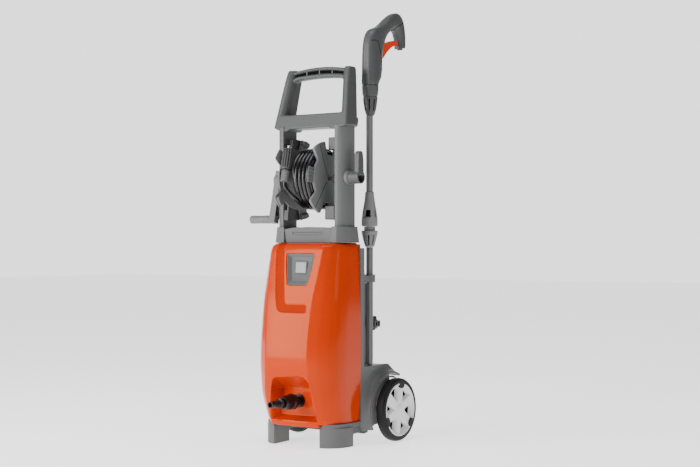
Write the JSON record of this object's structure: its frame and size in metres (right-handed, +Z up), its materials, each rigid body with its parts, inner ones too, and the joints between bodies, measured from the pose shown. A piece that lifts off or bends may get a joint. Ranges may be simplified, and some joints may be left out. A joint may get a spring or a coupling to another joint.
{
  "type": "pressure washer",
  "caption": "Upright electric pressure washer with a hose reel and crank, a parked gun and lance, and a wheeled chassis with a tall handle.",
  "frame": {"origin": "centre of the bounding box, on the floor", "axes": "+Z up; -Y is the front with the switch and water inlet; +X is the side of the parked lance; the reel and the wheels turn about X"},
  "size_m": [0.3362, 0.4034, 1.034],
  "materials": {
    "orange_plastic": "glossy",
    "grey_plastic": "satin",
    "pale_grey_plastic": "satin",
    "dark_grey_plastic": "satin",
    "black_plastic": "glossy",
    "soft_black": "matte",
    "hose_rubber": "glossy",
    "tyre": "matte",
    "rim_plastic": "satin",
    "steel": "brushed",
    "brass": "machined",
    "cast_aluminium": "cast",
    "winding_copper": "wound wire"
  },
  "bodies": {
    "chassis": {"rear_chassis": "grey_plastic", "front_cover": "orange_plastic", "rear_cover": "dark_grey_plastic", "collar": "grey_plastic", "left_post": "grey_plastic", "right_post": "grey_plastic", "handle_frame": "grey_plastic", "grip_insert": "soft_black", "switch_panel": "grey_plastic", "left_reel_bracket": "grey_plastic", "right_reel_bracket": "grey_plastic", "axle": "steel", "inlet_stub": "brass", "inlet_tail": "black_plastic", "lance_holder": "grey_plastic", "nozzle_clip": "grey_plastic", "cord_gland": "black_plastic", "motor_housing": "cast_aluminium", "motor_stator": "winding_copper", "gear_housing": "cast_aluminium", "pump_head": "cast_aluminium", "outlet_pipe": "steel"},
    "power_switch": {"power_switch": "pale_grey_plastic"},
    "reel": {"reel_drum": "grey_plastic", "reel_shaft": "steel", "hose_winding": "hose_rubber", "hose_tail": "hose_rubber", "hose_nipple": "steel", "crank_arm": "pale_grey_plastic"},
    "hose_nut": {"hose_nut": "dark_grey_plastic"},
    "crank_knob": {"crank_knob": "pale_grey_plastic"},
    "cable_hook": {"cable_hook": "grey_plastic"},
    "left_wheel": {"left_tyre": "tyre", "left_rim": "rim_plastic", "left_hub_cap": "rim_plastic"},
    "right_wheel": {"right_tyre": "tyre", "right_rim": "rim_plastic", "right_hub_cap": "rim_plastic"},
    "inlet_sleeve": {"inlet_sleeve": "black_plastic"},
    "lance": {"lance_lower_tube": "dark_grey_plastic", "lance_lower_bell": "grey_plastic", "lance_ring": "pale_grey_plastic", "lance_upper_bell": "grey_plastic", "lance_upper_tube": "dark_grey_plastic", "gun_nose": "grey_plastic", "gun_left_half": "grey_plastic", "gun_right_half": "grey_plastic", "gun_inlet": "brass"},
    "trigger": {"gun_trigger": "orange_plastic"},
    "spare_nozzle": {"spare_nozzle": "black_plastic"},
    "rotor": {"motor_rotor": "steel", "cooling_fan": "black_plastic", "wobble_plate": "steel"},
    "piston_a": {"piston_a": "steel"},
    "piston_b": {"piston_b": "steel"},
    "piston_c": {"piston_c": "steel"}
  },
  "joints": [
    {"name": "switch_rock", "type": "hinge", "parent": "chassis", "child": "power_switch", "pos_m": [0.0254, -0.08725, 0.414], "axis": [1, 0, 0], "range_deg": [0, 8]},
    {"name": "reel_spin", "type": "hinge", "parent": "chassis", "child": "reel", "pos_m": [0.0109, -0.02125, 0.622], "axis": [1, 0, 0], "continuous": true},
    {"name": "hose_nut_spin", "type": "hinge", "parent": "reel", "child": "hose_nut", "pos_m": [-0.0306, -0.08073, 0.66769], "axis": [0, 0.2147, 0.9767], "continuous": true},
    {"name": "knob_spin", "type": "hinge", "parent": "reel", "child": "crank_knob", "pos_m": [-0.1391, -0.04307, 0.52749], "axis": [1, 0, 0], "continuous": true},
    {"name": "hook_swivel", "type": "hinge", "parent": "chassis", "child": "cable_hook", "pos_m": [0.1299, -0.03125, 0.623], "axis": [1, 0, 0], "range_deg": [0, 180]},
    {"name": "left_wheel_spin", "type": "hinge", "parent": "chassis", "child": "left_wheel", "pos_m": [-0.1321, 0.10375, 0.075], "axis": [1, 0, 0], "continuous": true},
    {"name": "right_wheel_spin", "type": "hinge", "parent": "chassis", "child": "right_wheel", "pos_m": [0.1539, 0.10375, 0.075], "axis": [1, 0, 0], "continuous": true},
    {"name": "inlet_sleeve_slide", "type": "slide", "parent": "chassis", "child": "inlet_sleeve", "axis": [0, 1, 0], "range_m": [0, 0.006], "stiffness_N_per_m": 400},
    {"name": "lance_lift", "type": "slide", "parent": "chassis", "child": "lance", "axis": [0, 0, 1], "range_m": [0, 0.225]},
    {"name": "trigger_pull", "type": "hinge", "parent": "lance", "child": "trigger", "pos_m": [0.1099, 0.09275, 0.938], "axis": [1, 0, 0], "range_deg": [0, 10], "stiffness_Nm_per_rad": 2, "springref_deg": -5.73},
    {"name": "spare_nozzle_lift", "type": "slide", "parent": "chassis", "child": "spare_nozzle", "axis": [0, 0, 1], "range_m": [0, 0.03]},
    {"name": "rotor_spin", "type": "hinge", "parent": "chassis", "child": "rotor", "pos_m": [0.0109, -0.03325, 0.29], "axis": [0, 0, 1], "continuous": true},
    {"name": "piston_a_stroke", "type": "slide", "parent": "chassis", "child": "piston_a", "axis": [0, 0, -1], "range_m": [0, 0.006], "stiffness_N_per_m": 400, "springref_m": -0.003},
    {"name": "piston_b_stroke", "type": "slide", "parent": "chassis", "child": "piston_b", "axis": [0, 0, -1], "range_m": [0, 0.006], "stiffness_N_per_m": 400, "springref_m": -0.003},
    {"name": "piston_c_stroke", "type": "slide", "parent": "chassis", "child": "piston_c", "axis": [0, 0, -1], "range_m": [0, 0.006], "stiffness_N_per_m": 400, "springref_m": -0.003}
  ]
}
